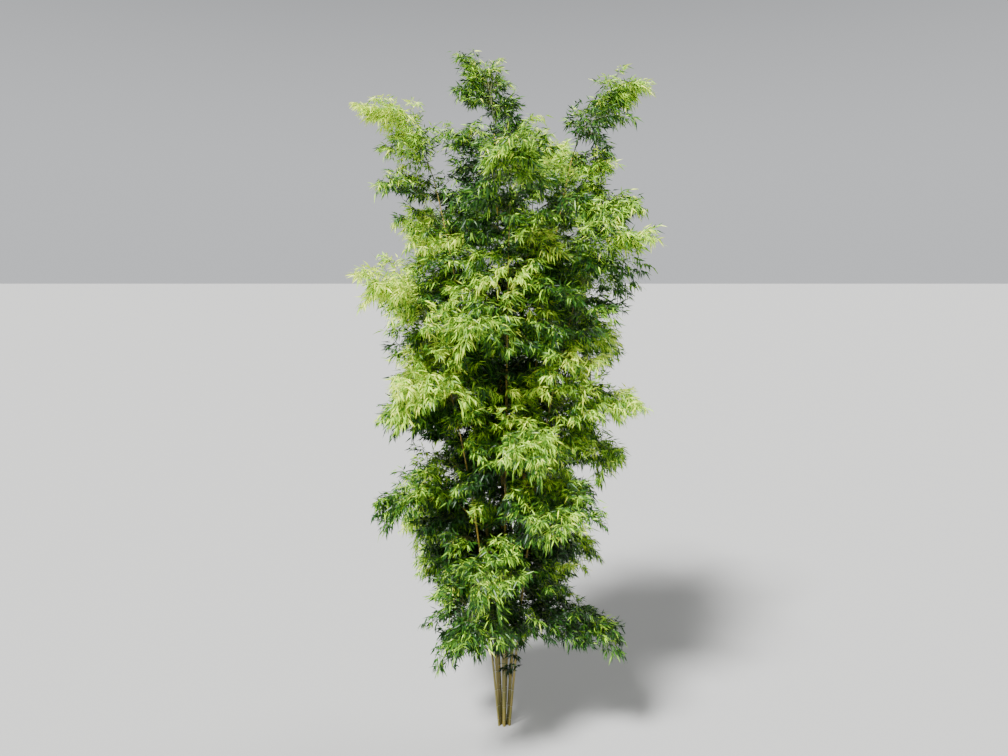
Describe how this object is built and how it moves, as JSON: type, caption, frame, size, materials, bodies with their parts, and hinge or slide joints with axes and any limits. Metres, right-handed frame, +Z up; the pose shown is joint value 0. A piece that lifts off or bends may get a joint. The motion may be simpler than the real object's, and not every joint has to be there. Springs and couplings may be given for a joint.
{
  "type": "bamboo clump",
  "caption": "Tall garden bamboo rooted in the ground: a tight clump of jointed yellow-green canes that fan out, with masses of narrow drooping leaves from knee height to the tips.",
  "frame": {"origin": "the middle of the main cane's flat foot, at ground level", "axes": "+Z up along the canes; -Y is the front, towards the lawn that the picture is taken from; +X is right in the picture"},
  "size_m": [2.8441, 2.7757, 6.4733],
  "materials": {
    "culm": "smooth, waxy, half gloss",
    "bough": "smooth, satin",
    "foliage": "matt leaf"
  },
  "bodies": {
    "root": {"back_bough_1": "bough", "back_bough_2": "bough", "back_culm": "culm", "back_foliage_1": "foliage", "back_foliage_2": "foliage", "back_foliage_3": "foliage", "back_top_foliage": "foliage", "front_bough_1": "bough", "front_bough_2": "bough", "front_culm": "culm", "front_foliage_1": "foliage", "front_foliage_2": "foliage", "front_foliage_3": "foliage", "front_top_foliage": "foliage", "left_bough_1": "bough", "left_bough_2": "bough", "left_culm": "culm", "left_foliage_1": "foliage", "left_foliage_2": "foliage", "left_foliage_3": "foliage", "left_top_foliage": "foliage", "main_bough_1": "bough", "main_bough_2": "bough", "main_culm": "culm", "main_foliage_1": "foliage", "main_foliage_2": "foliage", "main_top_foliage": "foliage", "outer_left_bough_1": "bough", "outer_left_bough_2": "bough", "outer_left_culm": "culm", "outer_left_foliage_1": "foliage", "outer_left_foliage_2": "foliage", "outer_left_foliage_3": "foliage", "outer_left_top_foliage": "foliage", "outer_right_bough_1": "bough", "outer_right_bough_2": "bough", "outer_right_culm": "culm", "outer_right_foliage_1": "foliage", "outer_right_foliage_2": "foliage", "outer_right_foliage_3": "foliage", "outer_right_top_foliage": "foliage", "rear_left_bough_1": "bough", "rear_left_bough_2": "bough", "rear_left_culm": "culm", "rear_left_foliage_1": "foliage", "rear_left_foliage_2": "foliage", "rear_left_foliage_3": "foliage", "rear_left_top_foliage": "foliage", "right_bough_1": "bough", "right_bough_2": "bough", "right_culm": "culm", "right_foliage_1": "foliage", "right_foliage_2": "foliage", "right_foliage_3": "foliage", "right_foliage_4": "foliage", "right_top_foliage": "foliage"}
  },
  "joints": []
}
